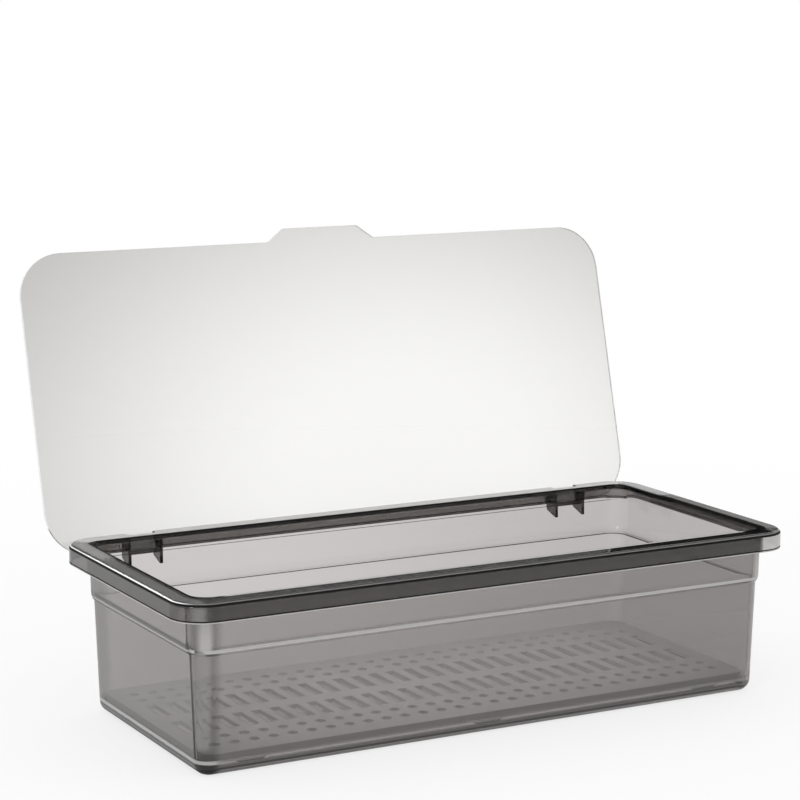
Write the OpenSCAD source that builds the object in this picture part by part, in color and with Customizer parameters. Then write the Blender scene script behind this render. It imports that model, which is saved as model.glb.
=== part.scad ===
// Chopstick holder with a flip lid: a smoke-clear tub, a clear flat lid hinged on its back rim,
// and a perforated drain tray that stands on the tub's floor and lifts out.
// Origin: middle of the underside of the tub. +X is along the length, -Y is the front, +Z is up.

/* [Tub rim] */
// Length over the rim
rim_l = 290; // [230:1:340]
// Width over the rim
rim_w = 134; // [118:1:170]
// Height of the rim's top above the table
tub_h = 73.6; // [64:0.2:100]
// Corner radius of the rim, seen from above
rim_corner_r = 14.5; // [13:0.5:16]
// Width of the flat flange, from the skirt's outer face to the wall's outer face
flange_w = 7.5; // [7.2:0.1:8.4]
// Thickness of the flange
flange_t = 2; // [1.6:0.1:2.4]
// Height of the turned-down skirt, over the flange
skirt_h = 8.2; // [7.4:0.1:9.4]
// Thickness of the skirt
skirt_t = 1.8; // [1.4:0.1:2.2]
// Radius of the rim's outer top edge
rim_round = 2; // [1.2:0.1:2]

/* [Tub wall] */
// Thickness of the wall
wall_t = 1.8; // [1.4:0.1:2.2]
// Thickness of the floor
floor_t = 2.2; // [1.6:0.1:3]
// Corner radius of the wall's outer face just under the flange, seen from above
wall_corner_r = 10; // [9.4:0.1:12]
// Height of the lower end of the shoulder above the table
shoulder_z = 49.8; // [40:0.2:52]
// Height of the shoulder's round
shoulder_h = 3.8; // [2:0.1:5]
// How far the wall steps in at the shoulder
shoulder_in = 1.3; // [0.6:0.1:1.4]
// How much higher the shoulder lies on the inner face than on the outer
shoulder_rise = 1.4; // [0:0.1:1.8]
// Draft of the wall above the shoulder, in degrees
upper_draft = 1.4; // [0.5:0.1:2]
// Draft of the wall below the shoulder, in degrees
lower_draft = 2; // [0.5:0.1:2]
// Outer radius along the bottom edge
bottom_round = 5.2; // [4:0.1:5.3]
// Inner radius along the floor's edge
floor_round = 3.4; // [2:0.1:4]

/* [Hinges] */
// Distance of each hinge from the middle of the back
hinge_x = 108.5; // [70:0.1:110]
// Distance of the hinge axis in from the back of the rim
axis_in = 1.85; // [1.85:0.05:2.1]
// Distance of the hinge axis below the rim's top
axis_down = 5.6; // [5.2:0.05:5.8]
// Clear width between the two cheeks of a hinge
cheek_gap = 13.2; // [10:0.1:20]
// Thickness of a cheek
cheek_t = 1.5; // [1.4:0.1:3]
// How far a cheek hangs below the rim's top, at the wall
cheek_drop = 13.5; // [12.2:0.1:16]
// How far a cheek hangs below the rim's top, at its back edge
cheek_back_drop = 11.5; // [10.6:0.1:12]
// Radius of a cheek's lower back corner
cheek_round = 1.6; // [0.8:0.1:2]
// Thickness of the pad on the wall between the cheeks
pad_t = 1.2; // [0.8:0.1:1.6]
// Height of the stop bar between the cheeks
stop_h = 1.5; // [1.2:0.1:1.7]
// Diameter of the lid's hinge pins
pin_d = 2.2; // [1.8:0.1:2.2]
// Radial clearance of a pin in its socket
pin_clear = 0.05; // [0.03:0.01:0.1]
// Depth of a pin socket in a cheek
socket_deep = 1.1; // [0.8:0.1:1.2]

/* [Lid] */
// Thickness of the lid
lid_t = 2; // [1.6:0.1:3]
// Corner radius of the lid
lid_corner_r = 20; // [10:0.5:24]
// How far the lid stands out past the rim at each end
lid_side_over = 3; // [0:0.1:4]
// Distance of the closed lid's front edge in from the rim's front
lid_front_in = 1.2; // [-3:0.1:3]
// Distance of the lid's back edge behind the hinge axis
lid_rear_over = 2; // [1.6:0.1:2.1]
// Clearance between the closed lid and the rim
lid_gap = 0.2; // [0.15:0.05:0.4]
// How far the lid swings open, in degrees from closed
open_angle = 104.75; // [90:0.25:105]
// Clearance between the open lid's web and the stop bar
stop_clear = 0.12; // [0.1:0.02:0.3]
// Diameter of the hinge knuckle
knuckle_d = 4.4; // [3.8:0.1:4.4]
// Clearance at each end of the knuckle
knuckle_clear = 0.4; // [0.15:0.05:0.5]
// Width of the slots that free the hinge tongue from the lid
tongue_slot_w = 1.3; // [1:0.1:2]
// Depth of those slots from the lid's back edge
tongue_slot_deep = 5.5; // [5:0.1:12]

/* [Finger tab] */
// Width of the finger tab where it leaves the lid's front edge
tab_base_w = 54; // [30:1:90]
// Width of the finger tab at its front
tab_tip_w = 38; // [20:1:80]
// How far the finger tab stands out from the lid's front edge
tab_out = 6; // [4:0.5:12]
// Radius of the finger tab's front corners
tab_round = 3; // [1:0.5:3]

/* [Drain tray] */
// Clearance between the tray's top edge and the wall all round
tray_gap = 1.5; // [1:0.1:3]
// Height of the tray's top above the floor
tray_h = 6.4; // [5.6:0.1:12]
// Thickness of the tray's deck
deck_t = 1.6; // [1.2:0.1:2.4]
// Height of the tray's edge band, over the deck
band_h = 3.7; // [2.6:0.1:4.6]
// Thickness of the tray's edge band
band_t = 1.3; // [1:0.1:2]
// Corner radius of the tray
tray_corner_r = 6; // [4:0.5:9]
// Width of a leg at the band
leg_top_w = 15; // [10:0.5:24]
// Width of a leg at its foot
leg_foot_w = 11; // [6:0.5:20]
// Thickness of a leg
leg_t = 2; // [1.4:0.1:3]
// Distance of the end legs' middles in from the tray's ends
leg_end = 21; // [16:0.5:40]
// Clearance between the legs and the round along the floor's edge
leg_clear = 0.4; // [0.2:0.1:1.5]

/* [Tray holes] */
// Spacing of the columns of holes
column_pitch = 8.65; // [7:0.05:14]
// Least distance from the tray's ends to the middle of the last column
end_margin = 9; // [7:0.5:30]
// Width of a slot
slot_w = 4.4; // [2:0.1:5]
// Length of a slot
slot_l = 18; // [10:0.5:19]
// Solid strip between the two rows of slots
slot_land = 9; // [4:0.5:10]
// Diameter of a round hole
round_d = 4.2; // [2:0.1:5]
// Spacing of the rows of round holes
round_pitch = 9.5; // [6.5:0.1:9.5]
// Solid strip between a slot's end and the first round holes
round_land = 6.6; // [3:0.1:6.6]

/* [Hidden] */

// Rows of round holes beyond each row of slots
round_rows = 2;
// Steps in a round of a moulded section, and in the shoulder
round_steps = 6;
// Width of the rim section that turns down into the skirt
edge_w = 3;
// How far a cutter runs past the face that it opens
past = 1;
$fn = 64;

smoke = [0.32, 0.31, 0.31, 0.5];
clear = [0.9, 0.92, 0.93, 0.35];
frost = [0.78, 0.78, 0.77, 0.7];

// Points of an arc round [x, y], from one angle to another
function arc(x, y, r, from, to) =
    [for (i = [0:round_steps]) let (a = from + (to - from) * i / round_steps)
        [x + r * cos(a), y + r * sin(a)]];

// The wall's outer face: distance in from the rim's outer face at a height above the table
shoulder_top = shoulder_z + shoulder_h;
shoulder_u = flange_w + (tub_h - shoulder_top) * tan(upper_draft);
function upper_u(z) = flange_w + (tub_h - z) * tan(upper_draft);
function lower_u(z) = shoulder_u + shoulder_in + (shoulder_z - z) * tan(lower_draft);
function shoulder_point(a) =
    [shoulder_u + shoulder_in * (1 - cos(a)), shoulder_top - shoulder_h * sin(a)];

// Corner centres of the wall, in from the rim's outer faces
wall_centre = flange_w + wall_corner_r;
flange_under = tub_h - flange_t;
skirt_under = tub_h - skirt_h;

// Back faces and the hinge axis
back_y = rim_w / 2;
axis_y = back_y - axis_in;
axis_z = tub_h - axis_down;
wall_back_y = back_y - flange_w;
notch_y = axis_y - knuckle_d / 2 - 3 * knuckle_clear;
knuckle_w = cheek_gap - 2 * knuckle_clear;

// The closed lid
lid_under = tub_h + lid_gap;
lid_reach = lid_under - axis_z;
lid_l = rim_l + 2 * lid_side_over;
lid_front_y = lid_front_in - back_y;
lid_back_y = axis_y + lid_rear_over;
lid_w = lid_back_y - lid_front_y;

// Where the open lid's web comes down on the stop bar, at the skirt's outer face
web_along = (axis_in - lid_rear_over * cos(open_angle)) / sin(open_angle);
stop_top = axis_z - lid_rear_over * sin(open_angle) + web_along * cos(open_angle) - stop_clear;

// The tray, set inside the wall at the height of its own top
tray_top = floor_t + tray_h;
tray_inset = lower_u(floor_t) + wall_t + tray_gap;
tray_l = rim_l - 2 * tray_inset;
tray_w = rim_w - 2 * tray_inset;
leg_y = back_y - lower_u(0) - wall_t - floor_round - leg_clear;
column_count = floor((tray_l - 2 * end_margin) / column_pitch) + 1;

// A flat outline with round corners, centred on the origin
module round_outline(l, w, r) {
    square([l - 2 * r, w], center = true);
    square([l, w - 2 * r], center = true);
    for (x = [-1, 1], y = [-1, 1])
        translate([x * (l / 2 - r), y * (w / 2 - r)]) circle(r);
}

// One side of a moulded ring with the corner at its left end. The section's x is the distance in
// from the rim's outer face, and its y is the height.
module ring_side(l, w, centre) {
    translate([centre - l / 2, -w / 2, 0])
        rotate([90, 0, 90]) linear_extrude(l - 2 * centre) children();
    translate([centre - l / 2, centre - w / 2, 0])
        rotate([0, 0, 180]) rotate_extrude(angle = 90)
            translate([centre, 0]) mirror([1, 0]) children();
}

// A section swept round the rim
module ring(centre) {
    for (turn = [0, 180]) rotate([0, 0, turn]) ring_side(rim_l, rim_w, centre) children();
    for (turn = [90, 270]) rotate([0, 0, turn]) ring_side(rim_w, rim_l, centre) children();
}

// Section of the wall, from the floor's edge up to the flange
module wall_section() {
    outer_round = [lower_u(bottom_round) + bottom_round, bottom_round];
    inner_round = [lower_u(floor_t + floor_round) + wall_t + floor_round, floor_t + floor_round];
    shoulder = [for (i = [round_steps:-1:0]) shoulder_point(90 * i / round_steps)];
    outer = concat(
        [[wall_centre, 0]],
        arc(outer_round[0], outer_round[1], bottom_round, 270, 180),
        shoulder,
        [[upper_u(flange_under), flange_under]]);
    inner = concat(
        [[upper_u(flange_under) + wall_t, flange_under]],
        [for (i = [round_steps:-1:0]) shoulder[i] + [wall_t, shoulder_rise]],
        arc(inner_round[0], inner_round[1], floor_round, 180, 270),
        [[wall_centre, floor_t]]);
    polygon(concat(outer, inner));
}

// Section of the rim's outer edge: the flange's round and the skirt below it
module skirt_section() {
    polygon(concat(
        [[edge_w, tub_h]],
        arc(rim_round, tub_h - rim_round, rim_round, 90, 180),
        [[0, skirt_under], [skirt_t, skirt_under], [skirt_t, flange_under], [edge_w, flange_under]]));
}

module flange() {
    inner_u = upper_u(flange_under) + wall_t;
    translate([0, 0, flange_under]) linear_extrude(flange_t) difference() {
        round_outline(rim_l - 2 * edge_w, rim_w - 2 * edge_w, rim_corner_r - edge_w);
        round_outline(rim_l - 2 * inner_u, rim_w - 2 * inner_u, wall_centre - inner_u);
    }
}

// A solid with the given section in Y and Z, centred on a place along X
module across(x, w) {
    translate([x - w / 2, 0, 0]) rotate([90, 0, 90]) linear_extrude(w) children();
}

// Cheek of a hinge: a bracket that fills the channel between wall and skirt
module cheek_section() {
    wall_y = wall_back_y - wall_t / 2;
    heel_z = tub_h - cheek_back_drop;
    polygon(concat(
        [[wall_y, flange_under], [wall_y, tub_h - cheek_drop]],
        arc(back_y - cheek_round, heel_z + cheek_round, cheek_round, 270, 360),
        [[back_y, skirt_under], [back_y - skirt_t, skirt_under], [back_y - skirt_t, flange_under]]));
}

// Brackets of one hinge: two cheeks, the pad between them and the bar that stops the open lid
module hinge_bracket(x) {
    for (side = [-1, 1])
        across(x + side * (cheek_gap + cheek_t) / 2, cheek_t) cheek_section();
    across(x, cheek_gap) polygon([
        [wall_back_y - wall_t / 2, flange_under], [wall_back_y - wall_t / 2, skirt_under],
        [wall_back_y + pad_t, skirt_under], [wall_back_y + pad_t, flange_under]]);
    stop_under = stop_top - stop_h;
    across(x, cheek_gap) polygon([
        [back_y - skirt_t, stop_top], [back_y - skirt_t, stop_under],
        [back_y, stop_under], [back_y, stop_top]]);
}

// What the lid's knuckle and pins need cleared out of the rim and the cheeks
module hinge_clearance(x) {
    translate([x - cheek_gap / 2, notch_y, stop_top])
        cube([cheek_gap, back_y + past - notch_y, tub_h + past - stop_top]);
    translate([x - cheek_gap / 2 - socket_deep, axis_y, axis_z])
        rotate([0, 90, 0]) cylinder(d = pin_d + 2 * pin_clear, h = cheek_gap + 2 * socket_deep);
}

module tub() {
    color(smoke) difference() {
        union() {
            ring(wall_centre) wall_section();
            ring(rim_corner_r) skirt_section();
            flange();
            translate([wall_centre - rim_l / 2, wall_centre - rim_w / 2, 0])
                cube([rim_l - 2 * wall_centre, rim_w - 2 * wall_centre, floor_t]);
            for (side = [-1, 1]) hinge_bracket(side * hinge_x);
        }
        for (side = [-1, 1]) hinge_clearance(side * hinge_x);
    }
}

// Outline of the closed lid, seen from above
module lid_outline() {
    difference() {
        union() {
            translate([0, (lid_back_y + lid_front_y) / 2]) round_outline(lid_l, lid_w, lid_corner_r);
            tab_outline();
        }
        for (hinge = [-1, 1], side = [-1, 1])
            translate([hinge * hinge_x + side * (knuckle_w + tongue_slot_w) / 2,
                       lid_back_y + (past - tongue_slot_deep) / 2])
                square([tongue_slot_w, tongue_slot_deep + past], center = true);
    }
}

// The finger tab: slanted sides and round front corners, rooted in the lid
module tab_outline() {
    slant = atan2(tab_out, (tab_base_w - tab_tip_w) / 2);
    tip_y = lid_front_y - tab_out;
    centre_x = tab_tip_w / 2 - tab_round * tan(slant / 2);
    right = concat(
        arc(centre_x, tip_y + tab_round, tab_round, 270, 270 + slant),
        [[tab_base_w / 2, lid_front_y], [tab_base_w / 2, lid_front_y + lid_corner_r]]);
    left = [for (i = [len(right) - 1:-1:0]) [-right[i][0], right[i][1]]];
    polygon(concat(right, left));
}

// One hinge of the lid: the web, its knuckle and the two pins
module lid_hinge(x) {
    across(x, knuckle_w) polygon([
        [axis_y - knuckle_d / 2, lid_under], [axis_y - knuckle_d / 2, axis_z],
        [axis_y + lid_rear_over, axis_z], [axis_y + lid_rear_over, lid_under]]);
    translate([x - knuckle_w / 2, axis_y, axis_z])
        rotate([0, 90, 0]) cylinder(d = knuckle_d, h = knuckle_w);
    pin_l = cheek_gap + 2 * (socket_deep - knuckle_clear);
    translate([x - pin_l / 2, axis_y, axis_z]) rotate([0, 90, 0]) cylinder(d = pin_d, h = pin_l);
}

module closed_lid() {
    translate([0, 0, lid_under]) linear_extrude(lid_t) lid_outline();
    for (side = [-1, 1]) lid_hinge(side * hinge_x);
}

// The lid as it stands: swung open about the hinge axis onto its stop
module lid() {
    color(clear)
        translate([0, axis_y, axis_z]) rotate([-open_angle, 0, 0])
            translate([0, -axis_y, -axis_z]) closed_lid();
}

// Holes through the tray's deck, seen from above
module hole_pattern() {
    first_round = slot_land / 2 + slot_l + round_land;
    for (i = [0:column_count - 1], side = [-1, 1])
        translate([(i - (column_count - 1) / 2) * column_pitch, 0]) {
            translate([0, side * (slot_land + slot_l) / 2]) square([slot_w, slot_l], center = true);
            for (row = [0:round_rows - 1])
                translate([0, side * (first_round + round_d / 2 + row * round_pitch)])
                    circle(d = round_d, $fn = 24);
        }
}

// A leg, seen from the front, with slanted sides
module leg(x) {
    translate([x, leg_y, 0]) rotate([90, 0, 0]) linear_extrude(leg_t)
        polygon([
            [-leg_foot_w / 2, floor_t], [leg_foot_w / 2, floor_t],
            [leg_top_w / 2, tray_top - band_h], [leg_top_w / 2, tray_top - deck_t],
            [-leg_top_w / 2, tray_top - deck_t], [-leg_top_w / 2, tray_top - band_h]]);
}

module drain_tray() {
    color(frost) {
        translate([0, 0, tray_top - deck_t]) linear_extrude(deck_t) difference() {
            round_outline(tray_l, tray_w, tray_corner_r);
            hole_pattern();
        }
        translate([0, 0, tray_top - band_h]) linear_extrude(band_h - deck_t) difference() {
            round_outline(tray_l, tray_w, tray_corner_r);
            round_outline(tray_l - 2 * band_t, tray_w - 2 * band_t, tray_corner_r - band_t);
        }
        for (turn = [0, 180], place = [-1, 0, 1])
            rotate([0, 0, turn]) leg(place * (tray_l / 2 - leg_end));
    }
}

tub();
lid();
drain_tray();
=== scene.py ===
import math

import bmesh
import bpy
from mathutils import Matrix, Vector


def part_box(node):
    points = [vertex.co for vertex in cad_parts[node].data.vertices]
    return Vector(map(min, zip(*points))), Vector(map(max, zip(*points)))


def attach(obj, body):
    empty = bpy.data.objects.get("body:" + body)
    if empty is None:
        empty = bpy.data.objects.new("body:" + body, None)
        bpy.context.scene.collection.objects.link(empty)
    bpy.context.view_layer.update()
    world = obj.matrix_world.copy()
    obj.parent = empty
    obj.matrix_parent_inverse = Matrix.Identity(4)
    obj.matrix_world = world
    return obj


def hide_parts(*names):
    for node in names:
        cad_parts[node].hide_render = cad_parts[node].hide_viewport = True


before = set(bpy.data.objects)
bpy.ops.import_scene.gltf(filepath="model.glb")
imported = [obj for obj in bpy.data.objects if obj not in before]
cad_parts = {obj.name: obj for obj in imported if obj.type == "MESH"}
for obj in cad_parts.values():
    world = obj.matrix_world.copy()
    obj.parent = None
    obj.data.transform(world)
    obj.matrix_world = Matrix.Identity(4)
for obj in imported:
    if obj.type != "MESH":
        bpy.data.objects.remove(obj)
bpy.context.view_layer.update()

# Tub. The open box is one injection moulding in smoke-grey see-through plastic, polished in the
# mould. Its flange, turned-down skirt and the two sets of hinge cheeks look much darker than the
# thin wall, because light comes to the eye edge-on through the plastic there. That darkness is
# painted shade in their tint, with painted light at the back of the rim and the skirt's corners.


class Wire:
    """One output in a node tree. Arithmetic on wires and numbers adds Math nodes to the tree."""

    def __init__(self, tree, output=None):
        self.tree = tree
        self.output = output

    def node(self, kind, settings=None, sockets=None, out=0):
        """Adds a node, sets its settings and then its sockets, and gives one of its outputs."""
        made = self.tree.nodes.new(kind)
        for name, value in (settings or {}).items():
            setattr(made, name, value)
        for name, value in (sockets or {}).items():
            if isinstance(value, Wire):
                self.tree.links.new(value.output, made.inputs[name])
            else:
                made.inputs[name].default_value = value
        return Wire(self.tree, made.outputs[out]) if made.outputs else None

    def maths(self, operation, *terms):
        return self.node("ShaderNodeMath", {"operation": operation}, dict(enumerate(terms)))

    def __add__(self, other):
        return self.maths("ADD", self, other)

    def __radd__(self, other):
        return self.maths("ADD", other, self)

    def __sub__(self, other):
        return self.maths("SUBTRACT", self, other)

    def __rsub__(self, other):
        return self.maths("SUBTRACT", other, self)

    def __mul__(self, other):
        return self.maths("MULTIPLY", self, other)

    def __rmul__(self, other):
        return self.maths("MULTIPLY", other, self)

    def between(self, low, high):
        """0 where the wire is at low or under it, 1 at high or over it, and smooth between."""
        ease = {"interpolation_type": "SMOOTHSTEP"}
        return self.node("ShaderNodeMapRange", ease, {0: self, 1: low, 2: high})

    def within(self, low, high, soft=0.00006):
        """1 from low to high and 0 outside them, with edges that are soft wide."""
        return self.between(low - soft, low) * (1 - self.between(high, high + soft))

    def blend(self, first, second):
        """The colour first where the wire is 0, and the colour second where it is 1."""
        ends = [end if isinstance(end, Wire) else (*end, 1) for end in (first, second)]
        mixed = {0: self, 6: ends[0], 7: ends[1]}
        return self.node("ShaderNodeMix", {"data_type": "RGBA"}, mixed, 2)

    def noise(self, scale, detail, stretch=(1, 1, 1)):
        """Noise of about 0 to 1 over the piece, its spots drawn thin where stretch is large."""
        place = self.node("ShaderNodeMapping", {}, {"Vector": self, "Scale": stretch})
        spots = {"Vector": place, "Scale": scale, "Detail": detail}
        return self.node("ShaderNodeTexNoise", {}, spots)


def start_material(name):
    """A material with an empty node tree, and a wire that gives the place on the piece."""
    material = bpy.data.materials.new(name)
    material.use_nodes = True
    material.node_tree.nodes.clear()
    return material, Wire(material.node_tree).node("ShaderNodeTexCoord", out="Object")


def see_through(place, tint, roughness, bump, transmission, grey, density, share=None, edge=None):
    """Ends a material as clear plastic that takes up more light the deeper light goes in. Where
    a share is given, the plastic is painted matt by that share, in the colour edge, as painted
    highlights and shade."""
    surface = place.node("ShaderNodeBsdfPrincipled", {}, {
        "Base Color": tint, "Roughness": roughness, "Normal": bump,
        "IOR": 1.49, "Transmission Weight": transmission})
    if share is not None:
        matt = place.node("ShaderNodeBsdfPrincipled", {}, {
            "Base Color": edge, "Roughness": 0.4, "Normal": bump, "Specular IOR Level": 0.0})
        surface = place.node("ShaderNodeMixShader", {}, {0: share, 1: surface, 2: matt})
    inside = place.node("ShaderNodeVolumeAbsorption", {}, {"Color": (*grey, 1), "Density": density})
    place.node("ShaderNodeOutputMaterial", {}, {"Surface": surface, "Volume": inside})


def moulded(name, node, material, easing_width):
    """A copy of a CAD node with its sharp edges eased as a mould leaves them."""
    same_place, same_plane = 1e-6, math.radians(0.5)
    sharp_from, eased_from = math.radians(40), math.radians(35)
    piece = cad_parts[node].copy()
    piece.data = piece.data.copy()
    piece.name = piece.data.name = name
    piece.parent = None
    bpy.context.scene.collection.objects.link(piece)
    mesh = bmesh.new()
    mesh.from_mesh(piece.data)
    bmesh.ops.remove_doubles(mesh, verts=mesh.verts, dist=same_place)
    bmesh.ops.dissolve_limit(mesh, angle_limit=same_plane, verts=mesh.verts, edges=mesh.edges)
    mesh.to_mesh(piece.data)
    mesh.free()
    for polygon in piece.data.polygons:
        polygon.use_smooth = True
    piece.data.set_sharp_from_angle(angle=sharp_from)
    piece.data.materials.clear()
    piece.data.materials.append(material)
    easing = piece.modifiers.new("eased_edges", "BEVEL")
    easing.width = easing_width
    easing.segments = 2
    easing.limit_method = "ANGLE"
    easing.angle_limit = eased_from
    easing.use_clamp_overlap = True
    flats = piece.modifiers.new("flat_faces", "WEIGHTED_NORMAL")
    flats.mode = "FACE_AREA"
    flats.weight = 100
    bpy.context.view_layer.update()
    eased = piece.evaluated_get(bpy.context.evaluated_depsgraph_get())
    final = bpy.data.meshes.new_from_object(eased)
    piece.modifiers.clear()
    piece.data = final
    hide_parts(node)
    return piece


smoke, place = start_material("smoke_plastic")
along, deep, up = (place.node("ShaderNodeSeparateXYZ", {}, {0: place}, axis) for axis in "XYZ")
mirrored = place.maths("ABSOLUTE", along)
across = place.maths("ABSOLUTE", deep)

# Half the length and width of the rim, its corner's radius, and heights over the ground.
rim_x, rim_y, rim_corner = 0.145, 0.067, 0.0145
rim_top, flange_under, skirt_foot, shoulder = 0.0736, 0.0716, 0.0654, 0.0498

# Outward is how far a point lies past the rectangle of the rim's corner centres, so it is the same
# all round the rim. It is rim_corner on the skirt's outer face. These are its values on the skirt's
# inner face and, close under the flange, on the two faces of the wall.
wall_inner, wall_outer, skirt_inner = 0.0052, 0.0070, 0.0127
past_x = place.maths("MAXIMUM", mirrored - (rim_x - rim_corner), 0.0)
past_y = place.maths("MAXIMUM", across - (rim_y - rim_corner), 0.0)
outward = place.node("ShaderNodeCombineXYZ", {}, {0: past_x, 1: past_y})
outward = place.node("ShaderNodeVectorMath", {"operation": "LENGTH"}, {0: outward}, "Value")
skirt = outward.between(wall_outer + 0.0010, wall_outer + 0.0020)
skirt = skirt * up.between(skirt_foot - 0.0014, skirt_foot - 0.0004)
flange = up.between(flange_under - 0.0006, flange_under)
flat = up.between(rim_top - 0.0004, rim_top - 0.0002)
outer_round = outward.between(skirt_inner + 0.0001, skirt_inner + 0.0003)
inner_face = 1 - outward.between(wall_inner + 0.0002, wall_inner + 0.0006)

# The cheeks and pads of the hinges hang from the back of the rim, at hinge_x on either side.
hinge_x, cheek_inner, cheek_outer, cheek_foot, back_wall = 0.1085, 0.0066, 0.0081, 0.0580, 0.0595
from_hinge = place.maths("ABSOLUTE", mirrored - hinge_x)
hung = deep.between(back_wall - 0.0003, back_wall + 0.0001)
cheek = from_hinge.within(cheek_inner - 0.0002, cheek_outer + 0.0002, 0.0002)
cheek = cheek * hung * up.between(cheek_foot - 0.0010, cheek_foot)
pad = 1 - from_hinge.between(cheek_inner - 0.0004, cheek_inner)
pad = pad * hung * up.between(skirt_foot - 0.0004, skirt_foot)

# The four sides of the tub, where its skirt turns at a corner, and the foot of its wall. Side is
# how far a point lies past the rectangle that reaches wall_x and wall_y from the middle.
end_from, end_to, corner_turn = 0.1240, 0.1290, 0.0080
wall_x, wall_y = 0.134, 0.056
front = 1 - deep.between(-0.0535, -0.0505)
back = deep.between(0.0560, 0.0575)
left_end = 1 - along.between(-end_to, -end_from)
right_end = along.between(end_from, end_to)
at_end = place.maths("DIVIDE", past_x, place.maths("MAXIMUM", outward, 0.0001))
at_end = at_end.between(0.6, 0.95)
turn = past_x.between(0.0, corner_turn) * past_y.between(0.0, corner_turn) * (1 - flange)
side = place.maths("MAXIMUM", mirrored - wall_x, across - wall_y)
outer_face = side.between(0.0012, 0.0014)
foot_edge = side.between(-0.0056, -0.0050)
foot = foot_edge * (1 - up.between(0.0046, 0.0058))


def strongest(*shares):
    """The largest of the shares at each place."""
    found = shares[0]
    for other in shares[1:]:
        found = found.maths("MAXIMUM", found, other)
    return found


# Painted highlights: the plastic is painted pale along these edges. Each name stands for one
# painted line or band of light.
streak, streak_soft, bend_x, band_x = 0.0008, 0.0030, 0.1320, 0.1376
light_round = outer_round * up.within(rim_top - 0.00068, rim_top - 0.00042)
skirt_corner = along.between(0.1275, end_to) * front * skirt
skirt_corner = skirt_corner * outward.between(rim_corner - 0.0006, rim_corner - 0.0004)
skirt_bands = mirrored.within(band_x - streak, band_x + streak, streak_soft) * front * skirt
end_flanges = at_end * flat * outward.within(wall_outer + 0.0015, skirt_inner - 0.0007, 0.0015)
left_shoulder = up.within(shoulder + 0.0014, shoulder + 0.0021) * left_end * outer_face
skirt_edge = (1 - up.between(skirt_foot + 0.0003, skirt_foot + 0.0004)) * skirt
skirt_edge = skirt_edge * outward.between(rim_corner - 0.0008, rim_corner - 0.0006)
front_strip = flat * outward.within(wall_inner, wall_inner + 0.0014) * front
front_strip = front_strip * (1 - mirrored.between(0.1225, 0.1255))
back_strip = flat * outward.within(wall_inner + 0.0006, skirt_inner - 0.0005) * back * (1 - at_end)
front_shoulder = up.within(shoulder + 0.0013, shoulder + 0.0025, 0.0002) * front * outer_face
corner_streak = mirrored.within(bend_x - streak, bend_x + streak, streak_soft) * front * (1 - skirt)
corner_streak = corner_streak * up.between(0.0100, 0.0130)
corner_streak = corner_streak * (0.14 + up.between(shoulder + 0.0002, shoulder + 0.0032) * 0.30)
corner_streak = corner_streak * (1 - up.between(skirt_foot - 0.0014, skirt_foot + 0.0001))
floor_strip = up.within(0.0054, 0.0066, 0.0003) * (0.12 + 0.3 * left_end)
painted_light = strongest(
    light_round * 0.9, skirt_corner * 0.55, skirt_bands * 0.14,
    end_flanges * (0.14 + right_end * 0.14), left_shoulder * 0.35, skirt_edge * 0.6,
    front_strip * 0.8, back_strip * 0.7, front_shoulder * 0.5, corner_streak, floor_strip)

# Painted shade: along these edges the plastic is painted black, as if no light came through.
under_round = outer_round * up.within(rim_top - 0.0016, rim_top - 0.00074)
skirt_line = outward.between(rim_corner - 0.0003, rim_corner - 0.0001)
skirt_line = skirt_line * up.within(skirt_foot + 0.0005, skirt_foot + 0.0010)
inner_edge = outward.within(wall_inner - 0.0012, wall_inner + 0.0002)
inner_edge = inner_edge * up.between(rim_top - 0.0009, rim_top - 0.0007)
end_inner_edge = at_end * flat * outward.within(wall_inner - 0.0002, wall_inner + 0.0010)
under_collar = inner_face * back * up.within(skirt_foot + 0.0007, skirt_foot + 0.0011)
under_shoulder = up.within(shoulder, shoulder + 0.0009) * left_end * outer_face
sole = side.between(-0.0052, -0.0050) * (1 - up.between(0.0008, 0.0010))
left_foot = foot_edge * left_end * (1 - up.between(0.0026, 0.0034))
painted_dark = strongest(
    under_round, skirt_line, inner_edge, end_inner_edge, under_collar * 0.6,
    under_shoulder * 0.6, sole, left_foot * 0.8)

# Colours of the matt paint: pale, grey and white for painted highlights, black for painted shade.
white_painted_highlight, grey_painted_highlight, black_painted_shade = (1.0, 1.0, 1.0), (0.20, 0.197, 0.193), (0.010, 0.010, 0.010)
pale_painted_highlight = (0.72, 0.71, 0.70)
# How much of the plastic is painted matt, and in which colour, for these highlights and shade.
share = strongest(painted_light, painted_dark * 0.85)
edge = light_round.blend(pale_painted_highlight, at_end.blend(grey_painted_highlight, white_painted_highlight))
edge = (painted_dark - painted_light).between(0.0, 0.05).blend(edge, black_painted_shade)

# Painted shade: the wall's tint is darker at the front, the left end and the foot, and towards
# the right.
clear_wall, shaded_wall = (1.0, 0.995, 0.99), (0.0, 0.0, 0.0)
# Painted shade darkens the rim and the hinges; painted light makes the rim's back and corners
# paler.
painted_rim_shade, painted_back_rim_light, painted_corner_light = (0.22, 0.215, 0.21), (0.40, 0.39, 0.385), (0.62, 0.61, 0.60)
painted_hinge_shade = (0.07, 0.07, 0.07)
flow = place.noise(18, 3, (1, 1, 2.5))
slope = along.between(-0.06, 0.15)
shade = flow * 0.02 + front * 0.18 + slope * (0.16 - front * 0.12) + left_end * 0.34
shade = shade + foot * (0.36 + left_end * 0.2)
painted_wall_shading = place.maths("MINIMUM", shade, 0.95).blend(clear_wall, shaded_wall)
painted_rim_shading = deep.between(0.0610, 0.0640).blend(painted_rim_shade, painted_back_rim_light)
painted_rim_shading = turn.blend(painted_rim_shading, painted_corner_light)
tint = place.maths("MAXIMUM", skirt, flange).blend(painted_wall_shading, painted_rim_shading)
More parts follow.
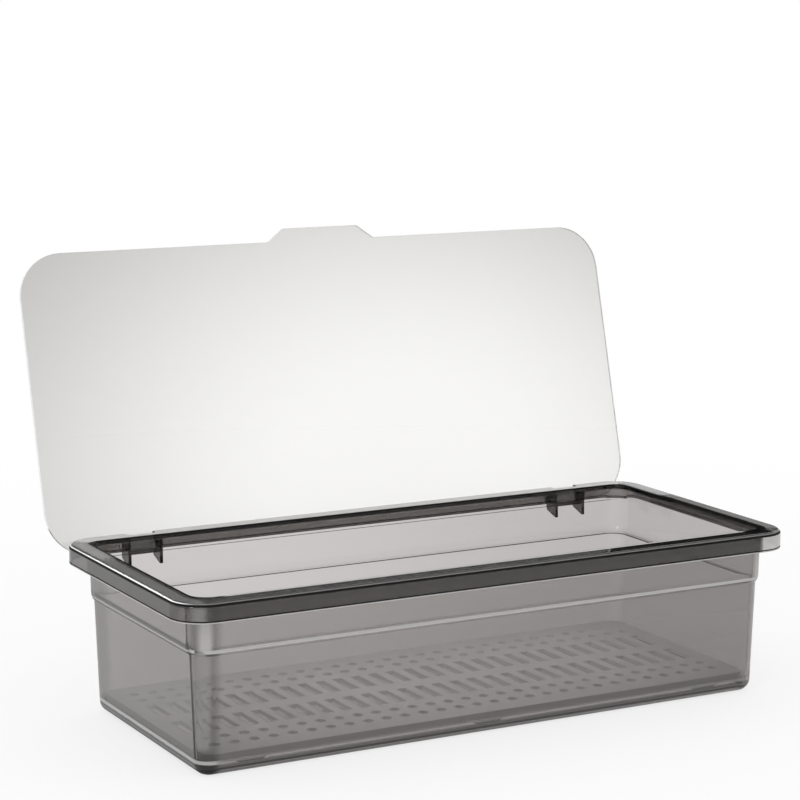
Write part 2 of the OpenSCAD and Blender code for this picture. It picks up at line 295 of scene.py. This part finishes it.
# Painted shade: the hinge pads and cheeks are tinted nearly black.
tint = pad.blend(tint, painted_hinge_shade)
tint = cheek.blend(tint, painted_hinge_shade)
orange_peel = place.node("ShaderNodeBump", {}, {
    "Strength": 0.03, "Distance": 0.0002, "Height": place.noise(260, 2)})
smoke_grey, smoke_density = (0.082, 0.027, 0.013), 258
see_through(
    place, tint, 0.012 + flow * 0.01, orange_peel, 1.0, smoke_grey, smoke_density, share, edge)
tub = moulded("tub_moulding", "tub", smoke, 0.0003)
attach(tub, "tub")

# Lid. A flat plate of clear plastic with a faint milky haze, moulded in one with its finger tab,
# the webs of its two hinges, their knuckles and the stub pins that snap into the tub's cheeks.

clear, place = start_material("clear_plastic")
up = place.node("ShaderNodeSeparateXYZ", {}, {0: place}, "Z")
# Painted shade: the lid's tint darkens away from a clear spot near its middle.
clear_middle, shade_spread = (0.03, 0.10, 0.08), (5.0, 0.0, 7.1)
middle_tint, outer_painted_shade = (1.0, 0.995, 0.985), (0.50, 0.49, 0.48)
painted_shade_reach = place.node(
    "ShaderNodeVectorMath", {"operation": "SUBTRACT"}, {0: place, 1: clear_middle})
painted_shade_reach = place.node("ShaderNodeVectorMath", {"operation": "MULTIPLY"}, {0: painted_shade_reach, 1: shade_spread})
painted_shade_reach = place.node("ShaderNodeVectorMath", {"operation": "LENGTH"}, {0: painted_shade_reach}, "Value")
tint = painted_shade_reach.between(0.25, 1.5).blend(middle_tint, outer_painted_shade)
flow = place.noise(14, 3, (1, 2.5, 2.5))
orange_peel = place.node("ShaderNodeBump", {}, {
    "Strength": 0.03, "Distance": 0.0002, "Height": place.noise(220, 2)})

# The plate stands open by this angle. Its narrow faces carry a painted highlight, but its hinges
# don't.
open_angle = math.radians(104.75)
plate_normal = (0, -math.sin(open_angle), -math.cos(open_angle))
facing = place.node("ShaderNodeTexCoord", out="Normal")
facing = place.node(
    "ShaderNodeVectorMath", {"operation": "DOT_PRODUCT"}, {0: facing, 1: plate_normal}, "Value")
narrow_face = 1 - place.maths("ABSOLUTE", facing).between(0.3, 0.8)
over_hinges = up.between(0.076, 0.078)
painted_edge_highlight, veil_grey, veil_density = (0.95, 0.95, 0.95, 1), (0.5, 0.5, 0.48), 12
see_through(
    place, tint, 0.02 + flow * 0.03, orange_peel, 0.9, veil_grey, veil_density,
    narrow_face * over_hinges * 0.7, painted_edge_highlight)
lid = moulded("lid_plate", "lid", clear, 0.0003)
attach(lid, "lid")

# Drain tray. A plate of frosted plastic with a turned-down band and six legs, moulded with rows of
# slots and round holes. It lies loose on the tub's floor, and water drips through it.

frosted, place = start_material("frosted_plastic")
grain = place.noise(900, 2)
cloud = place.noise(30, 3)
tint = cloud.between(0.3, 0.7).blend((0.90, 0.895, 0.885), (0.86, 0.855, 0.845))
frosting = place.node("ShaderNodeBump", {}, {
    "Strength": 0.15, "Distance": 0.0002, "Height": grain})
frost_grey, frost_density = (0.9, 0.9, 0.9), 10
see_through(place, tint, 0.35 + grain * 0.15, frosting, 0.15, frost_grey, frost_density)
tray = moulded("drain_tray_plate", "drain_tray", frosted, 0.0002)
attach(tray, "drain_tray")

# Hole lips. The mould leaves a fine rounded lip, in one with the frosted tray, round every slot
# and hole, which catches the light as a pale outline.


def lip_tree(material, sizes):
    """Node tree that sets a lip round each hole, and the identifiers of its named inputs."""
    tree = bpy.data.node_groups.new("hole_lips", "GeometryNodeTree")
    tree.interface.new_socket("Geometry", in_out="OUTPUT", socket_type="NodeSocketGeometry")
    for name, value in sizes.items():
        kind = "NodeSocketInt" if isinstance(value, int) else "NodeSocketFloat"
        tree.interface.new_socket(name, in_out="INPUT", socket_type=kind)
    inputs = [item for item in tree.interface.items_tree if item.in_out == "INPUT"]
    names = {item.name: item.identifier for item in inputs}
    start = Wire(tree)
    given = {name: start.node("NodeGroupInput", out=name) for name in sizes}

    def at(x, y, z):
        return start.node("ShaderNodeCombineXYZ", {}, {0: x, 1: y, 2: z})

    def round_curve(sides, radius):
        circle = {"Resolution": sides, "Radius": radius}
        return start.node("GeometryNodeCurvePrimitiveCircle", {}, circle)

    def lip(curve):
        profile = round_curve(6, given["lip_radius"])
        both = {"Curve": curve, "Profile Curve": profile}
        return start.node("GeometryNodeCurveToMesh", {}, both)

    def row(shape, count, first, offset):
        points = start.node("GeometryNodeMeshLine", {}, {
            "Count": count, "Start Location": first, "Offset": offset})
        return start.node("GeometryNodeInstanceOnPoints", {}, {"Points": points, "Instance": shape})

    def join(*shapes):
        joined = start.node("GeometryNodeJoinGeometry")
        for shape in shapes:
            tree.links.new(shape.output, joined.output.node.inputs[0])
        return joined

    grow = given["lip_radius"]
    slot = start.node("GeometryNodeCurvePrimitiveQuadrilateral", {}, {
        "Width": given["slot_width"] + 2 * grow, "Height": given["slot_length"] + 2 * grow})
    slot = start.node("GeometryNodeFilletCurve", {"mode": "POLY"}, {
        "Curve": slot, "Count": 2, "Radius": 2 * grow})
    hole = round_curve(12, given["hole_diameter"] * 0.5 + grow)
    slot_y = (given["slot_land"] + given["slot_length"]) * 0.5
    hole_y = (
        given["slot_land"] * 0.5 + given["slot_length"] + given["hole_land"]
        + given["hole_diameter"] * 0.5)
    height = given["height"]
    half = join(
        row(lip(slot), 1, at(0.0, slot_y, height), at(0.0, 0.0, 0.0)),
        row(lip(hole), 2, at(0.0, hole_y, height), at(0.0, given["hole_pitch"], 0.0)))
    half_turn = (0, 0, math.pi)
    turned = start.node("GeometryNodeTransform", {}, {"Geometry": half, "Rotation": half_turn})
    first = at(0.5 * given["column_pitch"] * (1 - given["columns"]), 0.0, 0.0)
    step = at(given["column_pitch"], 0.0, 0.0)
    columns = row(join(half, turned), given["columns"], first, step)
    lips = start.node("GeometryNodeRealizeInstances", {}, {"Geometry": columns})
    lips = start.node("GeometryNodeSetMaterial", {}, {"Geometry": lips, "Material": material})
    start.node("NodeGroupOutput", {}, {0: lips})
    return tree, names


lip_sunk = 0.00005
hole_sizes = {
    "columns": 29, "column_pitch": 0.00865, "slot_width": 0.0044, "slot_length": 0.018,
    "slot_land": 0.009, "hole_diameter": 0.0042, "hole_pitch": 0.0095, "hole_land": 0.0066,
    "lip_radius": 0.00028, "height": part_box("drain_tray")[1][2] - lip_sunk}
lips = bpy.data.objects.new("hole_lips", bpy.data.meshes.new("hole_lips"))
bpy.context.scene.collection.objects.link(lips)
tree, names = lip_tree(frosted, hole_sizes)
builder = lips.modifiers.new("lips", "NODES")
builder.node_group = tree
for name, value in hole_sizes.items():
    builder[names[name]] = value
bpy.context.view_layer.update()
built = lips.evaluated_get(bpy.context.evaluated_depsgraph_get())
made = bpy.data.meshes.new_from_object(built)
lips.modifiers.clear()
lips.data = made
mesh = bmesh.new()
mesh.from_mesh(made)
bmesh.ops.recalc_face_normals(mesh, faces=mesh.faces)
for face in mesh.faces:
    face.smooth = True
mesh.to_mesh(made)
mesh.free()
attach(lips, "drain_tray")

# Floor. A round sheet of matt white paper. It gives off more light away from the object, so that
# it fades into the white background and keeps only a soft shadow.

disc = bmesh.new()
bmesh.ops.create_circle(disc, cap_ends=True, segments=128, radius=6)
floor = bpy.data.objects.new("floor", bpy.data.meshes.new("floor"))
disc.to_mesh(floor.data)
disc.free()
bpy.context.scene.collection.objects.link(floor)
pale, place = start_material("pale_floor")
away = place.node("ShaderNodeVectorMath", {"operation": "LENGTH"}, {0: place}, "Value")
glow_near, glow_more = 0.74, 0.26
speck = place.noise(4, 2)
paper = place.node("ShaderNodeBsdfDiffuse", {}, {
    "Color": speck.blend((0.97, 0.97, 0.97), (0.96, 0.96, 0.96))})
white = place.node("ShaderNodeEmission", {}, {"Color": (1, 1, 1, 1), "Strength": 1.0})
sweep = place.node("ShaderNodeMixShader", {}, {
    0: glow_near + glow_more * away.between(0.25, 0.7), 1: paper, 2: white})
place.node("ShaderNodeOutputMaterial", {}, {"Surface": sweep})
floor.data.materials.append(pale)

# Studio. Soft white light from all round, softboxes that draw the bright lines on the rim, and a
# black card out of the camera's sight, which the flange mirrors.

world = bpy.data.worlds.new("studio")
bpy.context.scene.world = world
world.use_nodes = True
world.node_tree.nodes.clear()
sky = Wire(world.node_tree)
seen = sky.node("ShaderNodeLightPath", out="Is Camera Ray")
seen = seen + sky.node("ShaderNodeLightPath", out="Is Glossy Ray")
seen = seen + sky.node("ShaderNodeLightPath", out="Is Transmission Ray")
seen = sky.maths("MINIMUM", seen, 1.0)
soft = sky.node("ShaderNodeBackground", {}, {"Color": (1, 1, 1, 1), "Strength": 0.95})
background = sky.node("ShaderNodeBackground", {}, {"Color": (1, 1, 1, 1), "Strength": 1.0})
both = sky.node("ShaderNodeMixShader", {}, {0: seen, 1: soft, 2: background})
sky.node("ShaderNodeOutputWorld", {}, {"Surface": both})


def softbox(name, place, aim, width, height, power, diffuse):
    """A rectangular lamp that the camera doesn't see, turned from its place to aim."""
    lamp_data = bpy.data.lights.new(name, "AREA")
    lamp_data.shape = "RECTANGLE"
    lamp_data.size, lamp_data.size_y = width, height
    lamp_data.energy = power
    lamp = bpy.data.objects.new(name, lamp_data)
    lamp.location = place
    lamp.rotation_euler = (Vector(aim) - Vector(place)).to_track_quat("-Z", "Y").to_euler()
    lamp.visible_camera = False
    lamp.visible_transmission = False
    lamp.visible_diffuse = diffuse
    bpy.context.scene.collection.objects.link(lamp)


softbox(
    "left_softbox", place=(-1.6, -0.88, 0.35), aim=(-0.14, -0.06, 0.04),
    width=0.30, height=1.0, power=6, diffuse=True)
softbox(
    "back_softbox", place=(-0.32, 1.74, 0.95), aim=(0, 0, 0.07),
    width=1.8, height=0.26, power=14, diffuse=False)

card_place, card_across = Vector((0.467, 0.869, 0)), Vector((0.869, -0.467, 0))
card_mesh = bmesh.new()
for sideways, height in ((-0.45, 0.332), (0.50, 0.223), (0.50, 0.400), (-0.45, 0.504)):
    card_mesh.verts.new(card_place + sideways * card_across + Vector((0, 0, height)))
card_mesh.faces.new(card_mesh.verts)
card = bpy.data.objects.new("black_card", bpy.data.meshes.new("black_card"))
card_mesh.to_mesh(card.data)
card_mesh.free()
bpy.context.scene.collection.objects.link(card)
black, place = start_material("black_card")
speck = place.noise(40, 2).blend((0.020, 0.020, 0.020), (0.014, 0.014, 0.014))
matt = place.node("ShaderNodeBsdfDiffuse", {}, {"Color": speck})
place.node("ShaderNodeOutputMaterial", {}, {"Surface": matt})
card.data.materials.append(black)
card.visible_camera = False
card.visible_shadow = False
card.visible_diffuse = False

camera_data = bpy.data.cameras.new("camera")
camera_data.lens = 111.60
camera_data.sensor_width = 36
camera = bpy.data.objects.new("camera", camera_data)
camera.location = (-0.51056, -0.91890, 0.30484)
target = Vector((-0.014731, 0, 0.134082))
camera.rotation_euler = (target - camera.location).to_track_quat("-Z", "Y").to_euler()
bpy.context.scene.collection.objects.link(camera)
bpy.context.scene.camera = camera
bpy.context.scene.view_settings.view_transform = "Standard"
